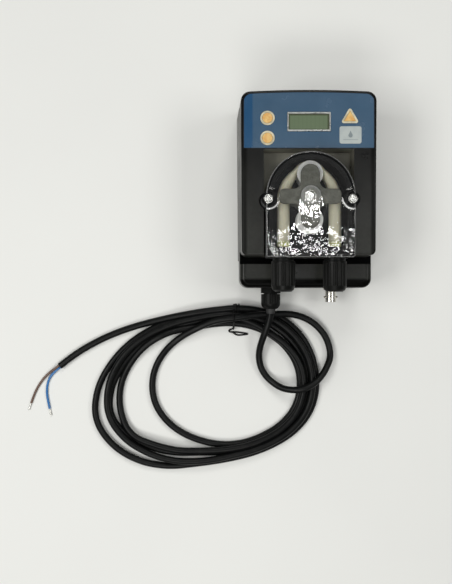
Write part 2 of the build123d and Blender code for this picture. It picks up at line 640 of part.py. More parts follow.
WASHER_T = 0.6
WASHER_R = 3.7
with BuildPart() as head_cover:
    extrude(head_plan(SKIRT_Z, COVER_R, COVER_END, 2.0), amount=COVER_FACE - SKIRT_Z)
    fillet(head_cover.edges().group_by(Axis.Z)[-1], 1.2)
    extrude(head_plan(SKIRT_Z, COVER_R - SKIRT_T, COVER_END + SKIRT_T, 1.0),
            amount=COVER_FACE - COVER_T - SKIRT_Z, mode=Mode.SUBTRACT)
    with Locations(*[(x, y, SKIRT_Z) for x, y in BOSSES]):
        Cylinder(BOSS_R, COVER_FACE - COVER_T - SKIRT_Z, align=TO_FRONT)
        Cylinder(2.2, 60, align=TO_FRONT, mode=Mode.SUBTRACT)
    with Locations((0, AXIS_Y, SKIRT_Z)):
        Cylinder(RACE_R, COVER_FACE - COVER_T - SKIRT_Z, align=TO_FRONT, mode=Mode.SUBTRACT)
    with Locations(*[(x, y, COVER_FACE - COVER_T) for x, y in BOSSES]):
        Cylinder(WASHER_R + 0.6, 20, align=TO_FRONT, mode=Mode.SUBTRACT)
    with Locations((0, POST_Y, COVER_FACE - COVER_T)):
        Cylinder(3.9, COVER_FACE - COVER_T - RACE_RIM - 0.1, align=TO_BACK)
        Cylinder(1.8, 10, align=TO_BACK, mode=Mode.SUBTRACT)
    with Locations(Plane.XZ.offset(-COVER_END)):
        with Locations((-TUBE_X, TUBE_Z), (TUBE_X, TUBE_Z)):
            Cylinder(6.8, 12, mode=Mode.SUBTRACT)
            with Locations((0, SKIRT_Z - TUBE_Z)):
                Box(13.6, 2 * (TUBE_Z - SKIRT_Z), 12, mode=Mode.SUBTRACT)
    with BuildSketch(Plane.YZ):
        with BuildLine():
            top_z = COVER_FACE + DOME_H
            Line((AXIS_Y, COVER_FACE - 1), (AXIS_Y, top_z))
            ThreePointArc((AXIS_Y, top_z), (AXIS_Y + DOME_R * 0.72, COVER_FACE + DOME_H * 0.62),
                          (AXIS_Y + DOME_R, COVER_FACE))
            Polyline((AXIS_Y + DOME_R, COVER_FACE), (AXIS_Y + DOME_R, COVER_FACE - 1),
                     (AXIS_Y, COVER_FACE - 1))
        make_face()
    revolve(axis=Axis((0, AXIS_Y, 0), (0, 0, 1)))
save("head_cover", head_cover.part)

with BuildPart() as cover_washers:
    with Locations(*[(x, y, COVER_FACE - COVER_T) for x, y in BOSSES]):
        Cylinder(WASHER_R, WASHER_T, align=TO_FRONT)
        Cylinder(2.15, 10, mode=Mode.SUBTRACT)
    chamfer(cover_washers.edges().group_by(Axis.Z)[-1], 0.15)
save("cover_washers", cover_washers.part)

cover_screw = screw(3.1, 2.4, 1.6, 42)
with BuildPart() as cover_screws:
    with Locations(*[(x, y, COVER_FACE - COVER_T + WASHER_T) for x, y in BOSSES]):
        add(cover_screw)
save("cover_screws", cover_screws.part)

# ---------------------------------------------------------------- rotor and rollers
AXLES = [(0, AXIS_Y + ROLLER_ORBIT), (0, AXIS_Y - ROLLER_ORBIT)]
with BuildPart() as rotor_top_plate:
    extrude(rotor_plan(PLATE_Z), amount=PLATE_T)
    fillet(rotor_top_plate.edges().group_by(Axis.Z)[-1], 0.7)
    with Locations((0, AXIS_Y, LOWER_PLATE_Z + LOWER_PLATE_T)):
        Cylinder(HUB_R, PLATE_Z - LOWER_PLATE_Z - LOWER_PLATE_T, align=TO_FRONT)
    with Locations((0, AXIS_Y, PLATE_Z + 1.0)):
        Cylinder(SHAFT_R, 200, align=TO_BACK, mode=Mode.SUBTRACT)
        Cylinder(1.8, 10, mode=Mode.SUBTRACT)
    with Locations(*[(x, y, PLATE_Z + 1.6) for x, y in AXLES]):
        Cylinder(AXLE_R, 10, align=TO_BACK, mode=Mode.SUBTRACT)
save("rotor_top_plate", rotor_top_plate.part)

with BuildPart() as rotor_bottom_plate:
    extrude(rotor_plan(LOWER_PLATE_Z), amount=LOWER_PLATE_T)
    with Locations((0, AXIS_Y, LOWER_PLATE_Z)):
        Cylinder(SHAFT_R, 20, mode=Mode.SUBTRACT)
    with Locations(*[(x, y, LOWER_PLATE_Z + 0.4) for x, y in AXLES]):
        Cylinder(AXLE_R, 10, align=TO_FRONT, mode=Mode.SUBTRACT)
save("rotor_bottom_plate", rotor_bottom_plate.part)

with BuildPart() as roller_axles:
    with Locations(*[(x, y, LOWER_PLATE_Z + 0.4) for x, y in AXLES]):
        Cylinder(AXLE_R, PLATE_Z + 1.6 - LOWER_PLATE_Z - 0.4, align=TO_FRONT)
save("roller_axles", roller_axles.part)

rotor_screw_body = screw(3.0, 1.2, 1.5, 10)
with BuildPart() as rotor_screw:
    with Locations((0, AXIS_Y, PLATE_Z + PLATE_T)):
        add(rotor_screw_body)
save("rotor_screw", rotor_screw.part)

for roller_name, (x, y) in zip(("roller_a", "roller_b"), AXLES):
    with BuildPart() as roller:
        with Locations((x, y, ROLLER_Z)):
            Cylinder(ROLLER_R, ROLLER_L, align=TO_FRONT)
            Cylinder(FLANGE_R, FLANGE_T, align=TO_FRONT)
        with Locations((x, y, ROLLER_Z + ROLLER_L)):
            Cylinder(FLANGE_R, FLANGE_T, align=TO_BACK)
        fillet(roller.edges().group_by(Axis.Z)[-1], 0.4)
        with Locations((x, y, ROLLER_Z)):
            Cylinder(AXLE_R + RUN, 60, mode=Mode.SUBTRACT)
    save(roller_name, roller.part)

# ---------------------------------------------------------------- pump tube and connectors
# Half widths of the tube across its path, from the round leg to the nip under the roller,
# at points given from the rotor's axis. Its height grows as it flattens.
TUBE_STEP = 0.06  # how much slimmer the arch is than the legs where they meet
SHOULDER = [
    (-TUBE_X, -1.5, TUBE_R),
    (-21.3, 2.0, 5.2),
    (-20.7, 5.4, 5.1),
    (-19.7, 8.3, 4.95),
    (-18.5, 11.0, 4.8),
    (-16.9, 13.8, 4.5),
    (-15.1, 16.3, 4.2),
    (-13.1, 19.1, 3.5),
    (-10.9, 22.0, 2.7),
    (-8.6, 25.3, 2.15),
    (-5.3, 27.7, 1.8),
]
CREST = (0.0, RACE_R - NIP / 2, NIP / 2 - 0.07)
STATIONS = SHOULDER + [CREST] + [(-x, y, a) for x, y, a in reversed(SHOULDER)]


def tube_section(index):
    """An oval across the tube's path at one station, as tall as its flattening makes it."""
    x, y, half = STATIONS[index]
    x0, y0 = STATIONS[max(index - 1, 0)][:2]
    x1, y1 = STATIONS[min(index + 1, len(STATIONS) - 1)][:2]
    along = Vector(x1 - x0, y1 - y0)
    if index in (0, len(STATIONS) - 1):
        along = Vector(0, -1 if index else 1)
    across = Vector(-along.Y, along.X)
    plane = Plane(origin=(x, y + AXIS_Y, TUBE_Z), x_dir=across, z_dir=along)
    with BuildSketch(plane) as oval:
        Ellipse(half - TUBE_STEP, TUBE_R - TUBE_STEP / 2 + (TUBE_R - half) * 0.7)
    return oval.sketch


with BuildPart() as pump_tube:
    loft([tube_section(i) for i in range(len(STATIONS))])
    leg_top = AXIS_Y + SHOULDER[0][1]
    with Locations(Plane.XZ.offset(-leg_top)):
        with Locations((-TUBE_X, TUBE_Z), (TUBE_X, TUBE_Z)):
            Cylinder(TUBE_R, leg_top - TUBE_END, align=TO_FRONT)
            Cylinder(LUMEN_R, leg_top - TUBE_END, align=TO_FRONT, mode=Mode.SUBTRACT)
save("pump_tube", pump_tube.part)

# Profiles of a hose connector and of its union nut: distance back along -Y, then radius.
NUT_START = -61.3
NUT_END = -87.0
HOSE_BORE_R = 4.6
CONNECTOR_PROFILE = [
    (-44.5, 1.9), (-44.5, 2.8), (-46.0, 3.4), (-47.4, 2.8), (-48.9, 3.4), (-50.3, 2.8),
    (-51.8, 3.4), (TUBE_END, 3.4), (TUBE_END, 6.4), (-58.9, 6.4), (-58.9, 8.8),
    (NUT_START + 0.1, 8.8), (NUT_START + 0.1, 7.4), (-74.0, 7.4), (-74.0, 3.1),
    (-81.5, 2.7), (-81.5, 1.9),
]
NUT_PROFILE = [
    (NUT_START, 7.5), (NUT_START, 9.4), (NUT_START - 0.6, 10.0), (-81.8, 10.0),
    (-85.4, 8.8), (NUT_END, 6.6), (NUT_END, HOSE_BORE_R), (-83.2, HOSE_BORE_R), (-75.2, 7.5),
]


def turned(profile, x):
    """A solid of revolution about a tube's own axis, from its profile."""
    with BuildPart() as body:
        with BuildSketch(Plane.XY.offset(TUBE_Z)):
            with BuildLine():
                Polyline(*[(x + r, y) for y, r in profile], close=True)
            make_face()
        revolve(axis=Axis((x, 0, TUBE_Z), (0, 1, 0)))
    return body.part


GRIP_R = 1.1
for side, x in (("inlet", -TUBE_X), ("outlet", TUBE_X)):
    save(f"{side}_connector", turned(CONNECTOR_PROFILE, x))
    nut_blank = turned(NUT_PROFILE, x)
    with BuildPart() as union_nut:
        add(nut_blank)
        with Locations(Plane.XZ.offset(-NUT_START + 2)):
            with Locations((x, TUBE_Z)):
                with PolarLocations(10.0 + GRIP_R * 0.45, 18):
                    Cylinder(GRIP_R, 19, align=TO_FRONT, mode=Mode.SUBTRACT)
    save(f"{side}_nut", union_nut.part)

# ---------------------------------------------------------------- cable gland
GLAND_R = 8.8
with BuildPart() as gland_body:
    with BuildSketch(Plane.XZ.offset(-LOWER_END)):
        with Locations((GLAND_X, INLET_Z)):
            RegularPolygon(GLAND_R, 6, major_radius=False, rotation=30)
    extrude(amount=4.8)
    with Locations(Plane.XZ.offset(-LOWER_END)):
        with Locations((GLAND_X, INLET_Z)):
            Cylinder(6.0, 9.0, align=TO_BACK)
            Cylinder(6.4, 13.0, align=TO_FRONT)
            Cylinder(4.6, 60, mode=Mode.SUBTRACT)
save("gland_body", gland_body.part)

with BuildPart() as gland_nut:
    with BuildSketch(Plane.XY.offset(INLET_Z)):
        with BuildLine():
            y0 = LOWER_END - 5.6
            Polyline((GLAND_X + 6.5, y0), (GLAND_X + GLAND_R, y0), (GLAND_X + GLAND_R, y0 - 8.2))
            ThreePointArc((GLAND_X + GLAND_R, y0 - 8.2), (GLAND_X + 7.9, y0 - 11.4),
                          (GLAND_X + 5.0, y0 - 13.6))
            Polyline((GLAND_X + 5.0, y0 - 13.6), (GLAND_X + 4.7, y0 - 13.6),
                     (GLAND_X + 4.7, y0 - 9.4), (GLAND_X + 6.5, y0 - 7.6), (GLAND_X + 6.5, y0))
        make_face()
    revolve(axis=Axis((GLAND_X, 0, INLET_Z), (0, 1, 0)))
    with Locations(Plane.XZ.offset(-y0)):
        with Locations((GLAND_X, INLET_Z)):
            with PolarLocations(GLAND_R + 0.5, 12):
                Cylinder(0.9, 8.4, align=TO_FRONT, mode=Mode.SUBTRACT)
save("gland_nut", gland_nut.part)

GLAND_EXIT = LEAD_ROUTE[0][1]
with BuildPart() as gland_seal:
    with BuildSketch(Plane.XY.offset(INLET_Z)):
        with BuildLine():
            y0 = LOWER_END - 6.0
            Polyline((GLAND_X + CORD_R, y0), (GLAND_X + 4.5, y0), (GLAND_X + 4.5, y0 - 12.6),
                     (GLAND_X + 3.7, GLAND_EXIT), (GLAND_X + CORD_R, GLAND_EXIT), close=True)
        make_face()
    revolve(axis=Axis((GLAND_X, 0, INLET_Z), (0, 1, 0)))
save("gland_seal", gland_seal.part)

with BuildPart() as gland_locknut:
    with BuildSketch(Plane.XZ.offset(-LOWER_END - WALL)):
        with Locations((GLAND_X, INLET_Z)):
            RegularPolygon(8.6, 6, major_radius=False)
            Circle(6.05, mode=Mode.SUBTRACT)
    extrude(amount=-3.4)
save("gland_locknut", gland_locknut.part)

# ---------------------------------------------------------------- signal socket
with BuildPart() as bnc_body:
    with Locations(Plane.XZ.offset(-LOWER_END)):
        with Locations((BNC_X, INLET_Z)):
            Cylinder(4.8, 7.0, align=TO_BACK)
            Cylinder(7.0, 1.6, align=TO_FRONT)
            Cylinder(4.85, 12.8, align=TO_FRONT)
            with PolarLocations(0, 2):
                with Locations((5.2, 0, 8.4)):
                    with Locations(Rotation(0, 90, 0)):
                        Cylinder(1.0, 2.2)
            Cylinder(4.0, 30, align=(Align.CENTER, Align.CENTER, Align.MIN), mode=Mode.SUBTRACT)
            Cylinder(3.2, 40, mode=Mode.SUBTRACT)
save("bnc_body", bnc_body.part)

with BuildPart() as bnc_insulator:
    with Locations(Plane.XZ.offset(-LOWER_END)):
        with Locations((BNC_X, INLET_Z)):
            Cylinder(3.15, 7.0, align=TO_BACK)
            Cylinder(2.4, 9.0, align=TO_FRONT)
            Cylinder(1.1, 60, mode=Mode.SUBTRACT)
save("bnc_insulator", bnc_insulator.part)

with BuildPart() as bnc_contact:
    with Locations(Plane.XZ.offset(-LOWER_END)):
        with Locations((BNC_X, INLET_Z, 8.0)):
            Cylinder(1.05, 19.0, align=TO_BACK)
            Cylinder(0.5, 8.0, mode=Mode.SUBTRACT)
save("bnc_contact", bnc_contact.part)

with BuildPart() as bnc_nut:
    with BuildSketch(Plane.XZ.offset(-LOWER_END - WALL)):
        with Locations((BNC_X, INLET_Z)):
            RegularPolygon(6.4, 6, major_radius=False)
            Circle(4.85, mode=Mode.SUBTRACT)
    extrude(amount=-2.4)
save("bnc_nut", bnc_nut.part)

# ---------------------------------------------------------------- cord
save("cord_lead", cord_tube(LEAD_ROUTE, CORD_R))
save("cord_tail", cord_tube(TAIL_ROUTE, CORD_R))
save("core_brown", cord_tube(BROWN_ROUTE, CORE_R))
save("core_blue", cord_tube(BLUE_ROUTE, CORE_R))

COIL_CENTRE = (-88.0, -175.7)
COIL_HOLE_CENTRE = (-68.0, -172.0)
with BuildPart() as cord_coil:
    with BuildSketch():
        with Locations(COIL_CENTRE):
            Ellipse(106.7 + CORD_R, 68.0 + CORD_R, rotation=16.8)
        with Locations(COIL_HOLE_CENTRE):
            Ellipse(68.7, 48.4, rotation=23.0, mode=Mode.SUBTRACT)
    extrude(amount=COIL_H)
    fillet(cord_coil.edges(), 2.6)
save("cord_coil", cord_coil.part)

FERRULE_L = 6.5
with BuildPart() as core_ferrules:
    for route in (BROWN_ROUTE, BLUE_ROUTE):
        tip = Vector(*route[-1])
        back = Vector(*route[-2])
        with BuildSketch(Plane(origin=tip, z_dir=tip - back)):
            Circle(0.75)
        extrude(amount=FERRULE_L)
save("core_ferrules", core_ferrules.part)

TIE_X = -62.0
TIE_W = 3.0
TIE_T = 1.0
with BuildPart() as cord_tie:
    with BuildSketch(Plane.YZ.offset(TIE_X - TIE_W / 2)):
        with Locations((-110.4, (COIL_H + TIE_T) / 2 + 0.05)):
            RectangleRounded(21.4, COIL_H + TIE_T, 3.4)
            offset(amount=-TIE_T, mode=Mode.SUBTRACT)
    extrude(amount=TIE_W)
save("cord_tie", cord_tie.part)
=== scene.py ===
from math import cos, pi, radians, sin

import bmesh
import bpy
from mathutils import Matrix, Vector


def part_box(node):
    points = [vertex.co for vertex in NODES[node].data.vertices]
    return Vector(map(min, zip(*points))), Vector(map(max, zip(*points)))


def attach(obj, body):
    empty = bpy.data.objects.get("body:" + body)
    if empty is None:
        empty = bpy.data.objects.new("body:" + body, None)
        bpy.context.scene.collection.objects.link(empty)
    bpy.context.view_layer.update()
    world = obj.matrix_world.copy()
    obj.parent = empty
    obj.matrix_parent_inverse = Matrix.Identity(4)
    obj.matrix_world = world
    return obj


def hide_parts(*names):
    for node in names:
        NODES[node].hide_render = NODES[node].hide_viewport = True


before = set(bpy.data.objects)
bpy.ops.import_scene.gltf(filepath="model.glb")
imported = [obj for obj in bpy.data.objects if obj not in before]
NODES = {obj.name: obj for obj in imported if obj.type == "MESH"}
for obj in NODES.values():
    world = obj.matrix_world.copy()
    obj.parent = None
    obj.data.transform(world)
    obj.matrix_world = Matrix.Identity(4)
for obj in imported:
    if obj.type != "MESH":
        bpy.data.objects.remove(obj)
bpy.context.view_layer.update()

# The shared frame, in metres: +X to the right, +Y towards the display, +Z out of the front. The
# pump lies on its back on a white table at z = 0.

CORD_D = 0.0062
CORD_Z = 0.00315  # the middle of a strand that lies on the table
UPPER_Z = 0.00845  # the same in the second layer
TOP_Z = 0.0130  # and in the third, over the bundle at the tie
CORE_D = 0.0022
TIE_X = -0.062
TIE_R = 0.00075


# ---------------------------------------------------------------- material helpers
class Shader:
    """A node material under construction: a Principled surface and short ways to feed it."""

    def __init__(self, name, color, roughness, metallic=0.0, **inputs):
        self.material = bpy.data.materials.new(name)
        self.material.use_nodes = True
        self.tree = self.material.node_tree
        self.surface = self.tree.nodes["Principled BSDF"]
        self.output = self.tree.nodes["Material Output"]
        self.color = (*color, 1.0)
        self.surface.inputs["Base Color"].default_value = self.color
        self.surface.inputs["Roughness"].default_value = roughness
        self.surface.inputs["Metallic"].default_value = metallic
        for key, value in inputs.items():
            self.surface.inputs[key.replace("_", " ")].default_value = value
        self.place = self.add("ShaderNodeTexCoord").outputs["Object"]

    def add(self, kind, **settings):
        node = self.tree.nodes.new(kind)
        for key, value in settings.items():
            setattr(node, key, value)
        return node

    def link(self, start, end):
        self.tree.links.new(start, end)

    def stretched(self, scale):
        """Object coordinates stretched by a factor along each axis."""
        node = self.add("ShaderNodeMapping")
        node.inputs["Scale"].default_value = scale
        self.link(self.place, node.inputs["Vector"])
        return node.outputs["Vector"]

    def noise(self, size, detail=3.0, stretch=None, roughness=0.5):
        """Noise whose features are about size metres across."""
        node = self.add("ShaderNodeTexNoise")
        node.inputs["Scale"].default_value = 1.0 / size
        node.inputs["Detail"].default_value = detail
        node.inputs["Roughness"].default_value = roughness
        self.link(self.stretched(stretch) if stretch else self.place, node.inputs["Vector"])
        return node.outputs["Fac"]

    def spread(self, source, low, high, to_low=0.0, to_high=1.0):
        """Maps a value from the range low..high to to_low..to_high, and clamps it."""
        node = self.add("ShaderNodeMapRange")
        for key, value in (("From Min", low), ("From Max", high), ("To Min", to_low), ("To Max", to_high)):
            node.inputs[key].default_value = value
        self.link(source, node.inputs["Value"])
        return node.outputs["Result"]

    def mixed(self, factor, first, second):
        """A colour between first and second. Either may be a colour or another output."""
        node = self.add("ShaderNodeMix", data_type="RGBA")
        self.link(factor, node.inputs["Factor"])
        for socket, value in ((node.inputs[6], first), (node.inputs[7], second)):
            if hasattr(value, "default_value"):
                self.link(value, socket)
            else:
                socket.default_value = (*value[:3], 1.0)
        return node.outputs[2]

    def math(self, operation, first, second=None):
        node = self.add("ShaderNodeMath", operation=operation)
        for socket, value in zip(node.inputs, (first, second)):
            if value is None:
                continue
            if hasattr(value, "default_value"):
                self.link(value, socket)
            else:
                socket.default_value = value
        return node.outputs[0]

    def axis(self, name):
        """One coordinate of the object's own place, in metres."""
        node = self.add("ShaderNodeSeparateXYZ")
        self.link(self.place, node.inputs[0])
        return node.outputs[name]

    def aside(self):
        """Distance in metres from the plane x = 0, to either side."""
        return self.math("ABSOLUTE", self.axis("X"))

    def away(self, x, y, mirrored=False):
        """Distance in metres from the point (x, y) seen from the front, or from its mirror too."""
        side = self.aside() if mirrored else self.axis("X")
        across = self.math("SUBTRACT", side, x)
        along = self.math("SUBTRACT", self.axis("Y"), y)
        square = self.math("ADD", self.math("MULTIPLY", across, across),
                           self.math("MULTIPLY", along, along))
        return self.math("SQRT", square)

    def painted(self):
        """The base colour as it stands, to paint over."""
        base = self.surface.inputs["Base Color"]
        return base.links[0].from_socket if base.is_linked else self.color

    def paint(self, source):
        self.link(source, self.surface.inputs["Base Color"])
        return self

    def rough(self, source):
        self.link(source, self.surface.inputs["Roughness"])
        return self

    def bump(self, source, depth, strength=1.0):
        """Raises the surface by depth metres where the source is 1, on top of earlier bumps."""
        node = self.add("ShaderNodeBump")
        node.inputs["Distance"].default_value = depth
        node.inputs["Strength"].default_value = strength
        self.link(source, node.inputs["Height"])
        normal = self.surface.inputs["Normal"]
        if normal.is_linked:
            self.link(normal.links[0].from_socket, node.inputs["Normal"])
        self.link(node.outputs["Normal"], normal)
        return self

    def worn(self, size=0.03, amount=0.08):
        """Uneven gloss, as handling leaves."""
        base = self.surface.inputs["Roughness"].default_value
        self.rough(self.spread(self.noise(size, 4.0), 0.3, 0.7, base - amount, base + amount))
        return self

    def dusted(self, amount, dust_and_reflection=(0.55, 0.53, 0.48)):
        """A thin uneven dust on faces that look up."""
        geometry = self.add("ShaderNodeNewGeometry")
        split = self.add("ShaderNodeSeparateXYZ")
        self.link(geometry.outputs["Normal"], split.inputs[0])
        facing = self.spread(split.outputs["Z"], 0.2, 1.0)
        specks = self.spread(self.noise(0.0035, 6.0, roughness=0.7), 0.42, 0.75)
        cover = self.math("MULTIPLY", self.math("MULTIPLY", facing, specks), amount)
        return self.paint(self.mixed(cover, self.painted(), dust_and_reflection))


def moulded(name, color, roughness, grain=0.0004, depth=0.00002, dust_and_reflection=0.0, **inputs):
    """A moulded plastic: slight tone changes, fine grain, uneven gloss."""
    shader = Shader(name, color, roughness, **inputs)
    lighter = [min(1.0, c * 1.25 + 0.002) for c in color]
    shader.paint(shader.mixed(shader.spread(shader.noise(0.02), 0.35, 0.7), color, lighter))
    shader.worn()
    shader.bump(shader.noise(grain, 2.0), depth)
    if dust_and_reflection:
        shader.dusted(dust_and_reflection)
    return shader


def metal(name, color, roughness, stretch=(1.0, 1.0, 1.0), scratch=0.0006, depth=0.00001):
    """A bare metal with fine tool marks and slight tarnish."""
    shader = Shader(name, color, roughness, metallic=1.0)
    duller = [c * 0.72 for c in color]
    shader.paint(shader.mixed(shader.spread(shader.noise(0.004), 0.4, 0.75), color, duller))
    shader.worn(0.002, min(0.1, roughness * 0.6))
    shader.bump(shader.noise(scratch, 2.0, stretch), depth)
    return shader


# ---------------------------------------------------------------- materials
def case_plastic():
    """Black moulded case, painted blacker towards the label, and with painted shade that makes the
    rounded edges of both blocks deep black. The channel round the pump head is painted paler as a
    painted reflection, and the step above the lower block is painted dark as painted shade."""
    sheen, matt_sheen = 0.26, 0.02
    shader = moulded("case plastic", (0.0185, 0.0192, 0.0165), 0.34, grain=0.0005, depth=0.00002,
                     dust_and_reflection=0.012, Specular_IOR_Level=sheen)
    # Each pair is where a tone begins and where it is full, in metres along one axis.
    display_block_z, blacker_y = (0.063, 0.066), (-0.036, 0.028)
    block_edge_z, block_side_x = (0.0860, 0.0885), (0.0508, 0.0528)
    foot_edge_y, foot_side_x, foot_top_z = (-0.0745, -0.0770), (0.0508, 0.0530), (0.0570, 0.0590)
    channel_x, channel_z = (0.0385, 0.0379), (0.0898, 0.0885)
    channel_foot_y, channel_head_y, paler_y = (-0.060, -0.056), (0.0340, 0.0330), (-0.005, 0.018)
    step_top_z, step_foot_z = (0.0592, 0.0580), (0.0545, 0.0560)

    display_block = shader.spread(shader.axis("Z"), *display_block_z)
    blacker = shader.math("MULTIPLY", display_block, shader.spread(shader.axis("Y"), *blacker_y))
    # Painted shade: the rounded edges of both blocks are painted near black, with less sheen.
    block_edge = shader.math("MULTIPLY", shader.spread(shader.axis("Z"), *block_edge_z, 0.0, 0.75),
                             shader.spread(shader.aside(), *block_side_x))
    foot_edge = shader.math("MAXIMUM", shader.spread(shader.axis("Y"), *foot_edge_y),
                            shader.spread(shader.aside(), *foot_side_x, 0.0, 0.4))
    foot_top = shader.math("SUBTRACT", shader.spread(shader.axis("Z"), *foot_top_z), display_block)
    edge = shader.math("MAXIMUM", block_edge, shader.math("MULTIPLY", foot_edge, foot_top))
    shader.paint(shader.mixed(shader.math("MAXIMUM", blacker, edge), shader.painted(),
                              (0.0015, 0.0016, 0.0012)))

    # Painted reflection: the channel round the pump head is painted paler, most towards its top.
    channel = shader.math("MULTIPLY", shader.spread(shader.aside(), *channel_x),
                          shader.spread(shader.axis("Z"), *channel_z))
    for limit in (channel_foot_y, channel_head_y):
        channel = shader.math("MULTIPLY", channel, shader.spread(shader.axis("Y"), *limit))
    dust_and_reflection = shader.mixed(shader.spread(shader.axis("Y"), *paler_y), (0.040, 0.039, 0.032),
                        (0.21, 0.205, 0.168))
    shader.paint(shader.mixed(channel, shader.painted(), dust_and_reflection))

    # Painted shade: the step between the two blocks is painted black.
    step = shader.math("MULTIPLY", shader.spread(shader.axis("Z"), *step_top_z),
                       shader.spread(shader.axis("Z"), *step_foot_z))
    shader.paint(shader.mixed(step, shader.painted(), (0.001, 0.001, 0.001)))
    matt = shader.math("MAXIMUM", step, shader.math("MULTIPLY", edge, 0.85))
    shader.link(shader.spread(matt, 0.0, 1.0, sheen, matt_sheen),
                shader.surface.inputs["Specular IOR Level"])
    return shader.material


def fitting_plastic():
    return moulded("fitting plastic", (0.004, 0.0042, 0.0038), 0.40, grain=0.0007, depth=0.00002,
                   Specular_IOR_Level=0.11).material


def label_print():
    """Blue polyester overlay: painted deeper blue along its left edge as a painted reflection of its
    fold there, with a thin dark line round it.
    """
    shader = Shader("label print", (0.05, 0.105, 0.18), 0.24, Coat_Weight=0.2, Coat_Roughness=0.12)
    # Painted reflection: the strip along the left edge, where the overlay folds, is painted deeper blue.
    side = shader.spread(shader.axis("X"), -0.0478, -0.0462)
    cloud = shader.spread(shader.noise(0.012, 5.0), 0.3, 0.75)
    ink = shader.mixed(cloud, (0.043, 0.094, 0.160), (0.037, 0.083, 0.143))
    shader.paint(shader.mixed(side, (0.008, 0.062, 0.150), ink))
    border = shader.math("MAXIMUM", shader.spread(shader.aside(), 0.0539, 0.0543),
                         shader.spread(shader.axis("Y"), 0.0334, 0.0329))
    shader.paint(shader.mixed(border, shader.painted(), (0.02, 0.03, 0.045)))
    shader.worn(0.02, 0.05)
    shader.bump(shader.noise(0.0012, 3.0), 0.000012)
    return shader.material


def display_glass():
    """Olive display: faint segment columns, and the shade of its bezel round the edges."""
    shader = Shader("display glass", (0.14, 0.175, 0.10), 0.18, Coat_Weight=0.5, Coat_Roughness=0.05)
    low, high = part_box("lcd_bezel")
    wave = shader.add("ShaderNodeTexWave", wave_type="BANDS", bands_direction="X")
    wave.inputs["Scale"].default_value = 90.0
    shader.link(shader.place, wave.inputs["Vector"])
    cells = shader.spread(wave.outputs["Fac"], 0.82, 0.98, 0.0, 0.3)
    tone = shader.mixed(cells, (0.118, 0.160, 0.094), (0.095, 0.128, 0.074))
    shade = shader.math("MAXIMUM", shader.spread(shader.axis("Y"), high[1] - 0.0034, high[1] - 0.0024),
                        shader.spread(shader.axis("X"), high[0] - 0.0033, high[0] - 0.0022))
    shade = shader.math("MAXIMUM", shade, shader.spread(shader.axis("X"), low[0] + 0.0026,
                                                        low[0] + 0.0018))
    shade = shader.math("MULTIPLY", shade, 0.75)
    shader.paint(shader.mixed(shade, tone, (0.045, 0.05, 0.026)))
    return shader.material


def bezel_silver():
    return metal("bezel silver", (0.66, 0.67, 0.64), 0.34, (8.0, 1.0, 1.0), 0.0004).material


def plate_white():
    shader = Shader("plate white", (0.74, 0.76, 0.78), 0.25, Coat_Weight=0.3)
    shader.paint(shader.mixed(shader.spread(shader.noise(0.006), 0.35, 0.7), (0.43, 0.47, 0.46),
                              (0.38, 0.42, 0.42)))
    shader.bump(shader.noise(0.001), 0.00001)
    return shader.material


def mark_grey():
    return moulded("mark grey", (0.16, 0.19, 0.2), 0.4).material


def key_cream():
    """Translucent cream surround, greyer in uneven patches."""
    shader = moulded("key cream", (0.66, 0.60, 0.42), 0.3, grain=0.0006, Subsurface_Weight=0.08)
    shader.surface.inputs["Subsurface Radius"].default_value = (0.004, 0.002, 0.001)
    tired = shader.spread(shader.noise(0.004, 3.0), 0.35, 0.65)
    shader.paint(shader.mixed(tired, (0.68, 0.63, 0.46), (0.46, 0.43, 0.31)))
    return shader.material


def key_orange():
    """Moulded key cap, worn pale and yellowish where fingers press it."""
    shader = Shader("key orange", (0.72, 0.38, 0.10), 0.26, Coat_Weight=0.35, Coat_Roughness=0.1)
    worn_pale = shader.spread(shader.noise(0.0035, 3.0), 0.38, 0.62)
    shader.paint(shader.mixed(worn_pale, (0.66, 0.36, 0.11), (0.74, 0.50, 0.19)))
    shader.worn(0.004, 0.07)
    shader.bump(shader.noise(0.0005), 0.00001)
    return shader.material


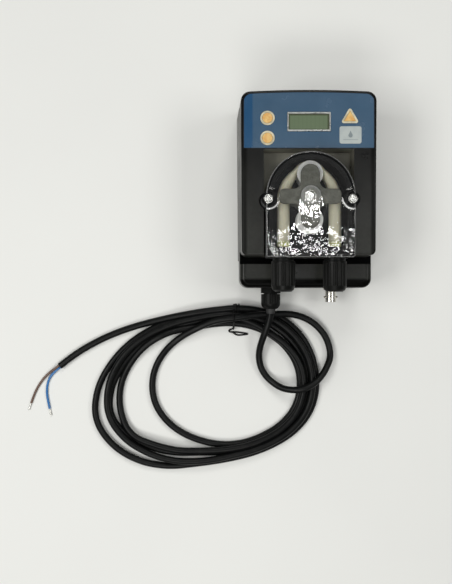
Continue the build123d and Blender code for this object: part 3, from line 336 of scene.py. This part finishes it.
def clear_cover():
    """Clear moulded cover: see-through, with a painted highlight along its rounded edges and walls, a
    ripple over its lower end and over the hub that breaks up what it mirrors, and a raised ring and
    a painted highlight in an arc round each screw boss."""
    shader = Shader("clear cover", (0.95, 0.97, 0.97), 0.05, IOR=1.58)
    through = shader.add("ShaderNodeBsdfTransparent")
    through.inputs["Color"].default_value = (0.985, 0.988, 0.985, 1.0)
    gloss = shader.add("ShaderNodeBsdfGlossy")
    gloss.inputs["Roughness"].default_value = 0.035
    smear_and_highlight_bsdf = shader.add("ShaderNodeBsdfDiffuse")
    smear_and_highlight_bsdf.inputs["Color"].default_value = (0.80, 0.81, 0.81, 1.0)
    fresnel = shader.add("ShaderNodeFresnel")
    fresnel.inputs["IOR"].default_value = 1.62
    geometry = shader.add("ShaderNodeNewGeometry")
    split = shader.add("ShaderNodeSeparateXYZ")
    shader.link(geometry.outputs["Normal"], split.inputs[0])
    hub_x, hub_y, hub_share = 0.0, -0.0155, 0.30
    ripple_size, ripple_height, ring_height, relief = 0.0056, 0.6, 0.66, 0.001
    arc_highlight_share, wall_highlight_share, smear_veil = 0.55, 0.26, 0.014

    lower = shader.spread(shader.axis("Y"), -0.030, -0.042)
    over_hub = shader.math("MULTIPLY", shader.spread(shader.away(hub_x, hub_y), 0.0125, 0.0105),
                           hub_share)
    ripple = shader.math("MULTIPLY", shader.noise(ripple_size, 1.5, (1.0, 0.8, 0.3), 0.5),
                         shader.math("MAXIMUM", lower, over_hub))
    low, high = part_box("cover_washers")
    washer_r = (high[1] - low[1]) / 2
    boss_y = high[1] - washer_r
    from_screw = shader.away(high[0] - washer_r, boss_y, mirrored=True)
    ring = shader.spread(from_screw, 0.0074, 0.0096, ring_height, 0.0)
    ring.node.interpolation_type = "SMOOTHSTEP"
    bump = shader.add("ShaderNodeBump")
    bump.inputs["Distance"].default_value = relief
    shader.link(shader.math("ADD", shader.math("MULTIPLY", ripple, ripple_height), ring),
                bump.inputs["Height"])
    for node in (gloss, fresnel):
        shader.link(bump.outputs["Normal"], node.inputs["Normal"])
    smear_and_highlight_mix = shader.add("ShaderNodeMixShader")
    wiped = shader.noise(0.006, 6.0, (1.0, 3.0, 1.0), 0.65)
    # Painted highlight: a pale arc beside each screw boss, below it.
    arc = shader.math("MULTIPLY", shader.spread(from_screw, 0.0074, 0.0081),
                      shader.spread(from_screw, 0.0092, 0.0086))
    below_boss = shader.spread(shader.axis("Y"), boss_y - 0.0015, boss_y - 0.0040)
    arc = shader.math("MULTIPLY", arc, below_boss)
    # Painted highlight: steep walls and rounded edges get a share of pale haze, besides the wiped smears.
    steep = shader.math("ABSOLUTE", split.outputs["Z"])
    smear_and_highlight_share = shader.math("ADD", shader.spread(wiped, 0.45, 0.85, 0.0, smear_veil),
                       shader.spread(steep, 0.985, 0.75, 0.0, wall_highlight_share))
    smear_and_highlight_share = shader.math("ADD", smear_and_highlight_share, shader.math("MULTIPLY", arc, arc_highlight_share))
    shader.link(smear_and_highlight_share, smear_and_highlight_mix.inputs[0])
    shader.link(through.outputs[0], smear_and_highlight_mix.inputs[1])
    shader.link(smear_and_highlight_bsdf.outputs[0], smear_and_highlight_mix.inputs[2])
    coat = shader.add("ShaderNodeMixShader")
    shader.link(fresnel.outputs[0], coat.inputs[0])
    shader.link(smear_and_highlight_mix.outputs[0], coat.inputs[1])
    shader.link(gloss.outputs[0], coat.inputs[2])
    shader.link(coat.outputs[0], shader.output.inputs["Surface"])
    return shader.material


def rotor_grey():
    return moulded("rotor grey", (0.116, 0.119, 0.094), 0.42, grain=0.0006, depth=0.00004,
                   dust_and_reflection=0.25).material


def roller_white():
    shader = moulded("roller white", (0.90, 0.90, 0.87), 0.30, Subsurface_Weight=0.1)
    shader.surface.inputs["Subsurface Radius"].default_value = (0.003, 0.003, 0.002)
    return shader.material


def tube_cream():
    """Cream elastomer tube, slightly see-through, scuffed grey where the rollers pass and
    yellowed where it meets the connectors."""
    shader = Shader("tube cream", (0.74, 0.70, 0.54), 0.45, Subsurface_Weight=0.15)
    shader.surface.inputs["Subsurface Radius"].default_value = (0.006, 0.004, 0.002)
    scuff = shader.spread(shader.noise(0.004, 5.0, (2.0, 0.6, 2.0)), 0.45, 0.75, 0.0, 0.5)
    shade = shader.mixed(scuff, (0.88, 0.84, 0.65), (0.70, 0.66, 0.51))
    ends = shader.spread(shader.axis("Y"), -0.0435, -0.0465)
    shader.paint(shader.mixed(ends, shade, (0.70, 0.72, 0.30)))
    shader.worn(0.01, 0.1)
    shader.bump(shader.noise(0.0009), 0.00003)
    return shader.material


def screw_steel():
    return metal("screw steel", (0.70, 0.70, 0.67), 0.28).material


def stainless():
    return metal("stainless", (0.62, 0.62, 0.60), 0.25, (1.0, 1.0, 6.0)).material


def nickel():
    return metal("nickel", (0.72, 0.70, 0.64), 0.24, (1.0, 6.0, 1.0), 0.0005, 0.00002).material


def cast_alloy():
    return metal("cast alloy", (0.5, 0.5, 0.5), 0.5, scratch=0.0009, depth=0.00005).material


def laminated_steel():
    """Motor stack: painted laminations, a fine line for each."""
    shader = moulded("laminated steel", (0.03, 0.03, 0.033), 0.5)
    wave = shader.add("ShaderNodeTexWave", wave_type="BANDS", bands_direction="Z")
    wave.inputs["Scale"].default_value = 320.0
    shader.link(shader.place, wave.inputs["Vector"])
    shader.bump(wave.outputs["Fac"], 0.0001)
    return shader.material


def copper():
    return metal("copper", (0.6, 0.26, 0.12), 0.35, (1.0, 1.0, 9.0)).material


def gold():
    return metal("gold", (0.85, 0.62, 0.25), 0.25).material


def rubber_black():
    return moulded("rubber black", (0.02, 0.02, 0.02), 0.65, grain=0.0005).material


def board_green():
    return moulded("board green", (0.02, 0.16, 0.06), 0.4, Coat_Weight=0.3).material


def component_black():
    return moulded("component black", (0.02, 0.02, 0.02), 0.45).material


def terminal_green():
    return moulded("terminal green", (0.03, 0.28, 0.12), 0.4).material


def tape_yellow():
    return moulded("tape yellow", (0.6, 0.45, 0.08), 0.35).material


def sleeve_blue():
    return moulded("sleeve blue", (0.02, 0.04, 0.16), 0.3).material


def ptfe_white():
    return moulded("ptfe white", (0.82, 0.82, 0.8), 0.4).material


def cord_sheath():
    """Black PVC sheath: satin, fine wrinkles and a little table dust."""
    shader = Shader("cord sheath", (0.004, 0.0044, 0.0045), 0.36, Specular_IOR_Level=0.15)
    shader.paint(shader.mixed(shader.spread(shader.noise(0.01, 4.0), 0.35, 0.7),
                              (0.003, 0.0034, 0.0036), (0.006, 0.0064, 0.0062)))
    shader.worn(0.015, 0.07)
    shader.bump(shader.noise(0.0015, 4.0), 0.00004)
    shader.dusted(0.007)
    return shader.material


def tie_black():
    return moulded("tie black", (0.004, 0.004, 0.004), 0.5, grain=0.0005,
                   Specular_IOR_Level=0.15).material


def core_brown():
    return moulded("core brown", (0.105, 0.055, 0.035), 0.35, grain=0.0006).material


def core_blue():
    return moulded("core blue", (0.018, 0.135, 0.36), 0.32, grain=0.0006).material


def ferrule_tin():
    return metal("ferrule tin", (0.75, 0.74, 0.70), 0.35, (3.0, 3.0, 3.0), 0.0003, 0.00004).material


def table_white():
    shader = Shader("table white", (0.80, 0.805, 0.785), 0.6)
    shader.paint(shader.mixed(shader.spread(shader.noise(0.25, 3.0), 0.35, 0.7), (0.80, 0.805, 0.785),
                              (0.775, 0.78, 0.762)))
    shader.bump(shader.noise(0.002), 0.00002)
    return shader.material


def dress(material, *names):
    """Gives CAD nodes their finish."""
    for name in names:
        for slot in NODES[name].material_slots:
            slot.material = material


def dress_nodes():
    dress(case_plastic(), "front_shell", "back_shell")
    dress(fitting_plastic(), "head_base", "inlet_connector", "outlet_connector", "inlet_nut",
          "outlet_nut", "gland_body", "gland_nut", "gland_locknut")
    dress(rubber_black(), "case_gasket", "shaft_seal", "gland_seal")
    dress(label_print(), "panel_label")
    dress(bezel_silver(), "lcd_bezel")
    dress(display_glass(), "lcd_module")
    dress(plate_white(), "name_plate")
    dress(key_cream(), "key_bezels")
    dress(key_orange(), "key_up", "key_down", "key_start")
    dress(component_black(), "key_switches")
    dress(board_green(), "display_board", "power_board")
    dress(tape_yellow(), "transformer")
    dress(sleeve_blue(), "capacitors")
    dress(terminal_green(), "terminal_block")
    dress(screw_steel(), "case_screws", "board_screws", "terminal_screws", "motor_screws",
          "cover_screws", "cover_washers", "rotor_screw")
    dress(cast_alloy(), "motor_front_cap", "motor_rear_cap")
    dress(laminated_steel(), "motor_stator", "motor_core")
    dress(copper(), "motor_windings")
    dress(stainless(), "motor_bearings", "drive_shaft", "roller_axles")
    dress(gold(), "shaft_bush", "bnc_contact")
    dress(clear_cover(), "head_cover")
    dress(rotor_grey(), "rotor_top_plate", "rotor_bottom_plate")
    dress(roller_white(), "roller_a", "roller_b")
    dress(tube_cream(), "pump_tube")
    dress(nickel(), "bnc_body", "bnc_nut")
    dress(ptfe_white(), "bnc_insulator")
    dress(ferrule_tin(), "core_ferrules")


# ---------------------------------------------------------------- curves
def add_spline(curve, points, resolution=6):
    """A smooth NURBS spline that starts at its first point and ends at its last."""
    spline = curve.splines.new("NURBS")
    spline.points.add(len(points) - 1)
    for point, place in zip(spline.points, points):
        point.co = (*place, 1.0)
    spline.order_u = 3
    spline.use_endpoint_u = True
    spline.resolution_u = resolution


def nurbs(name, points, radius, material, resolution=10):
    """A round line along one smooth NURBS spline."""
    curve = bpy.data.curves.new(name, "CURVE")
    curve.dimensions = "3D"
    curve.bevel_depth = radius
    curve.bevel_resolution = 6
    curve.use_fill_caps = True
    add_spline(curve, points, resolution)
    piece = bpy.data.objects.new(name, curve)
    bpy.context.scene.collection.objects.link(piece)
    curve.materials.append(material)
    return piece


# ---------------------------------------------------------------- cord
LEAD_ROUTE = [
    (-0.0283, -0.1070, 0.0200),
    (-0.0293, -0.1136, 0.0194),
    (-0.0323, -0.1214, 0.0176),
    (-0.0350, -0.1294, 0.0146),
    (-0.0377, -0.1382, 0.0106),
    (-0.0388, -0.1474, 0.0068),
    (-0.0371, -0.1568, 0.0044),
    (-0.0325, -0.1654, 0.0040),
    (-0.0254, -0.1720, 0.0058),
    (-0.0172, -0.1767, 0.0096),
    (-0.0076, -0.1780, 0.0136),
    (0.0022, -0.1768, 0.0160),
    (0.0112, -0.1726, 0.0154),
    (0.0189, -0.1658, 0.0122),
    (0.0248, -0.1570, 0.0084),
    (0.0284, -0.1480, 0.0054),
    (0.0276, -0.1386, 0.0042),
    (0.0242, -0.1294, 0.0044),
    (0.0182, -0.1212, 0.0056),
    (0.0104, -0.1146, 0.0070),
    (0.0008, -0.1098, 0.0080),
    (-0.0100, -0.1074, 0.0088),
    (-0.0210, -0.1076, 0.0102),
    (-0.0318, -0.1080, 0.0112),
    (-0.0426, -0.1086, 0.0121),
    (-0.0530, -0.1102, TOP_Z),
]
TAIL_ROUTE = [
    (-0.0610, -0.1020, 0.0086),
    (-0.0720, -0.1032, 0.0085),
    (-0.0860, -0.1047, 0.0083),
    (-0.1060, -0.1078, 0.0074),
    (-0.1290, -0.1127, 0.0044),
    (-0.1540, -0.1190, CORD_Z),
    (-0.1770, -0.1272, CORD_Z),
    (-0.1960, -0.1366, CORD_Z),
    (-0.2114, -0.1460, CORD_Z),
    (-0.2247, -0.1565, CORD_Z),
]
BROWN_ROUTE = [
    (-0.2252, -0.1558, 0.0045),
    (-0.2296, -0.1590, 0.0038),
    (-0.2356, -0.1636, 0.0026),
    (-0.2412, -0.1694, 0.0017),
    (-0.2460, -0.1766, 0.0013),
    (-0.2496, -0.1844, 0.0013),
    (-0.2520, -0.1914, 0.0013),
]
BLUE_ROUTE = [
    (-0.2242, -0.1571, 0.0019),
    (-0.2292, -0.1612, 0.0018),
    (-0.2346, -0.1672, 0.0015),
    (-0.2370, -0.1742, 0.0013),
    (-0.2374, -0.1818, 0.0013),
    (-0.2362, -0.1896, 0.0013),
    (-0.2346, -0.1968, 0.0013),
]
# The coil, turn by turn from the lead to the tail. For every 30 degrees round from the tie, a turn
# has its distance from the coil's middle in millimetres, read from the photograph, and its
# layer there: low, high, or on top of the bundle.
COIL_MIDDLE = Vector((-0.080, -0.176))
TIE_ANGLE = 75
STATION = 30
TURNS = [
    ((66.3, 57.2, 56.3, 58.2, 57.5, 53.3, 51.5, 55.6, 64.1, 77.6, 80.1, 71.1), "THLLLLLLLLLL"),
    ((61.7, 58.0, 68.6, 82.0, 91.0, 76.0, 60.6, 58.8, 67.2, 81.0, 83.0, 71.8), "LLHLLHHHHHHH"),
    ((67.6, 63.4, 71.8, 87.0, 101.6, 81.0, 62.9, 61.9, 70.2, 84.8, 87.5, 80.0), "LLLLLLLLLLLL"),
    ((70.6, 66.2, 75.0, 92.0, 102.3, 86.5, 70.9, 64.9, 73.3, 88.6, 91.7, 85.3), "HHHHHHHHHHHH"),
    ((73.6, 69.5, 78.3, 97.6, 116.0, 98.4, 73.9, 68.0, 76.4, 92.4, 95.9, 90.4), "LLLLLLLLLLLL"),
]
TAIL_START = (75.9, "H")
KNEE = (1, 210, 0.005)  # turn, angle and bulge: the second turn stands out here by 5 mm
STEPS = 2  # control points to a station
LAYER = {"L": CORD_Z, "H": UPPER_Z, "T": TOP_Z}
ROUNDING = 1 / cos(radians(STATION / STEPS / 2))  # a spline runs this much inside its points


def through(before, start, end, after, part):
    """A smooth value between start and end, which takes its slopes from their neighbours."""
    slope = (end - before) / 2
    slope_end = (after - start) / 2
    rise = end - start
    return (start + slope * part + (3 * rise - 2 * slope - slope_end) * part**2
            + (slope + slope_end - 2 * rise) * part**3)


def coil_points():
    """The coil's turns, from the tie round to the tie again."""
    reaches = [reach / 1000 for turn, _ in TURNS for reach in turn] + [TAIL_START[0] / 1000]
    heights = [LAYER[level] for _, levels in TURNS for level in levels] + [LAYER[TAIL_START[1]]]
    count = len(reaches) - 1
    points = []
    for index in range(count):
        near = [max(0, index - 1), index, index + 1, min(count, index + 2)]
        for step in range(STEPS):
            part = step / STEPS
            reach = through(*(reaches[i] for i in near), part)
            height = heights[index] + (heights[index + 1] - heights[index]) * part
            turn, place = divmod(index, 360 // STATION)
            degrees = TIE_ANGLE + STATION * (place + part)
            if (turn, degrees) == KNEE[:2]:
                reach += KNEE[2]
            spoke = Vector((cos(radians(degrees)), sin(radians(degrees))))
            points.append((*(COIL_MIDDLE + spoke * reach * ROUNDING), height))
    return points


def make_cord():
    sheath = cord_sheath()
    cord = nurbs("mains_cord", LEAD_ROUTE + coil_points() + TAIL_ROUTE, CORD_D / 2, sheath)
    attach(cord, "casing")
    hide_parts("cord_lead", "cord_coil", "cord_tail")
    brown = nurbs("brown_core", BROWN_ROUTE, CORE_D / 2, core_brown())
    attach(brown, "casing")
    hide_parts("core_brown")
    blue = nurbs("blue_core", BLUE_ROUTE, CORE_D / 2, core_blue())
    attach(blue, "casing")
    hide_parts("core_blue")
    tie = make_tie()


def tie_coil():
    """The tie's one end, wound twice round the outermost strand."""
    turns, steps, pitch, radius = 2.25, 8, 0.0024, 0.0038
    middle_y, middle_z = -0.1023, UPPER_Z
    points = []
    for step in range(round(turns * steps) + 1):
        angle = 2 * pi * step / steps - pi / 2
        points.append((TIE_X + pitch * (turns - step / steps), middle_y + radius * cos(angle),
                       middle_z + radius * sin(angle)))
    return points


def make_tie():
    """The twist tie: a wire wound on the outer strand, drawn across the turns, and folded into a
    flat loop on the table."""
    flat = 0.0008  # the height of the wire's middle on the table
    across = [(TIE_X, -0.1066, 0.0128), (TIE_X, -0.1092, 0.0160), (TIE_X, -0.1120, 0.0174),
              (TIE_X, -0.1152, 0.0150), (-0.0621, -0.1186, 0.0092), (-0.0624, -0.1207, 0.0050),
              (-0.0633, -0.1218, 0.0018)]
    curl = [(-0.0648, -0.1224, flat), (-0.0663, -0.1230, flat), (-0.0662, -0.1243, flat),
            (-0.0645, -0.1249, flat)]
    loop = [(-0.0610, -0.1246, flat), (-0.0570, -0.1250, flat), (-0.0530, -0.1256, flat),
            (-0.0496, -0.1262, flat), (-0.0488, -0.1267, flat), (-0.0500, -0.1270, flat),
            (-0.0535, -0.1274, flat), (-0.0570, -0.1278, flat), (-0.0600, -0.1272, flat),
            (-0.0618, -0.1258, 0.0018), (-0.0634, -0.1246, 0.0021)]
    under = [(-0.0622, -0.1219, 0.0030), (TIE_X, -0.1205, 0.0007), (TIE_X, -0.1110, 0.0006),
             (TIE_X, -0.1010, 0.0006), (-0.0618, -0.0990, 0.0030), (-0.0600, -0.0986, 0.0080)]
    wire = nurbs("twist_tie", tie_coil() + across + curl + loop, TIE_R, tie_black(), 6)
    add_spline(wire.data, under)
    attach(wire, "casing")
    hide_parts("cord_tie")
    return wire


# ---------------------------------------------------------------- print on the plate
def make_plate_mark():
    """A generic mark on the white plate: a liquid drop over a thin rule."""
    low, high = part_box("name_plate")
    middle_x, middle_y = (low[0] + high[0]) / 2, (low[1] + high[1]) / 2
    drop_r, tip, sides = 0.0018, 0.0042, 24
    rule_half, rule_edge = 0.0062, 0.0002
    sunk, thickness = 0.00002, 0.00006
    base_y, rule_y = middle_y - 0.0004, middle_y - 0.0040
    outline = []
    for step in range(sides + 1):
        angle = radians(-230 + 280 * step / sides)
        outline.append((middle_x + drop_r * cos(angle), base_y + drop_r * sin(angle)))
    outline.append((middle_x, base_y + tip))
    rule = [(middle_x + x * rule_half, rule_y + y * rule_edge)
            for x, y in ((-1, -1), (1, -1), (1, 1), (-1, 1))]
    mesh = bmesh.new()
    for points in (outline, rule):
        bottom = [mesh.verts.new((x, y, high[2] - sunk)) for x, y in points]
        face = mesh.faces.new(bottom)
        lifted = bmesh.ops.extrude_face_region(mesh, geom=[face])["geom"]
        bmesh.ops.translate(mesh, vec=(0, 0, thickness),
                            verts=[v for v in lifted if isinstance(v, bmesh.types.BMVert)])
    bmesh.ops.recalc_face_normals(mesh, faces=mesh.faces)
    data = bpy.data.meshes.new("plate_mark")
    mesh.to_mesh(data)
    mesh.free()
    piece = bpy.data.objects.new("plate_mark", data)
    bpy.context.scene.collection.objects.link(piece)
    data.materials.append(mark_grey())
    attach(piece, "casing")


# ---------------------------------------------------------------- stage
def area_light(name, place, aim, size, power, color=(1.0, 1.0, 1.0)):
    lamp = bpy.data.lights.new(name, "AREA")
    lamp.shape = "RECTANGLE"
    lamp.size, lamp.size_y = size
    lamp.energy = power
    lamp.color = color
    holder = bpy.data.objects.new(name, lamp)
    bpy.context.scene.collection.objects.link(holder)
    holder.location = place
    holder.rotation_euler = (Vector(aim) - Vector(place)).to_track_quat("-Z", "Y").to_euler()


def set_stage():
    """The white table, a dim room, four softboxes round the table, and two small lamps over it that
    the cover mirrors."""
    table = bpy.data.meshes.new("table")
    half = 6.0
    table.from_pydata([(-half, -half, 0), (half, -half, 0), (half, half, 0), (-half, half, 0)], [],
                      [(0, 1, 2, 3)])
    floor = bpy.data.objects.new("table", table)
    bpy.context.scene.collection.objects.link(floor)
    table.materials.append(table_white())
    world = bpy.data.worlds.new("room")
    bpy.context.scene.world = world
    world.use_nodes = True
    world.node_tree.nodes["Background"].inputs["Color"].default_value = (0.98, 0.99, 1.0, 1.0)
    world.node_tree.nodes["Background"].inputs["Strength"].default_value = 0.14
    aim = (-0.03, -0.06, 0.03)
    warm = (1.0, 0.995, 0.965)
    area_light("softbox left", (-0.95, -0.15, 1.45), aim, (0.8, 0.5), 10.7, warm)
    area_light("softbox right", (1.05, 0.05, 1.5), aim, (0.8, 0.5), 6.6, warm)
    area_light("softbox head", (0.05, 1.15, 1.5), aim, (0.9, 0.5), 8.3, warm)
    area_light("softbox foot", (-0.30, -1.02, 1.45), aim, (0.9, 0.4), 8.5, warm)
    ceiling = 1.7
    area_light("ceiling lamp", (0.159, 0.146, ceiling), (0.159, 0.146, 0.0), (0.045, 0.042), 0.24)
    area_light("ceiling strip", (0.165, 0.045, ceiling), (0.165, 0.045, 0.0), (0.26, 0.05), 0.9)
    bpy.context.scene.view_settings.view_transform = "Standard"


def set_camera():
    """The photograph's camera: 0.8 m over the table, looking straight down."""
    lens = bpy.data.cameras.new("overhead")
    lens.sensor_width = 36.0
    lens.lens = 52.46
    camera = bpy.data.objects.new("overhead", lens)
    bpy.context.scene.collection.objects.link(camera)
    camera.location = (-0.0692, -0.0872, 0.800)
    bpy.context.scene.camera = camera


dress_nodes()
make_cord()
make_plate_mark()
set_stage()
set_camera()
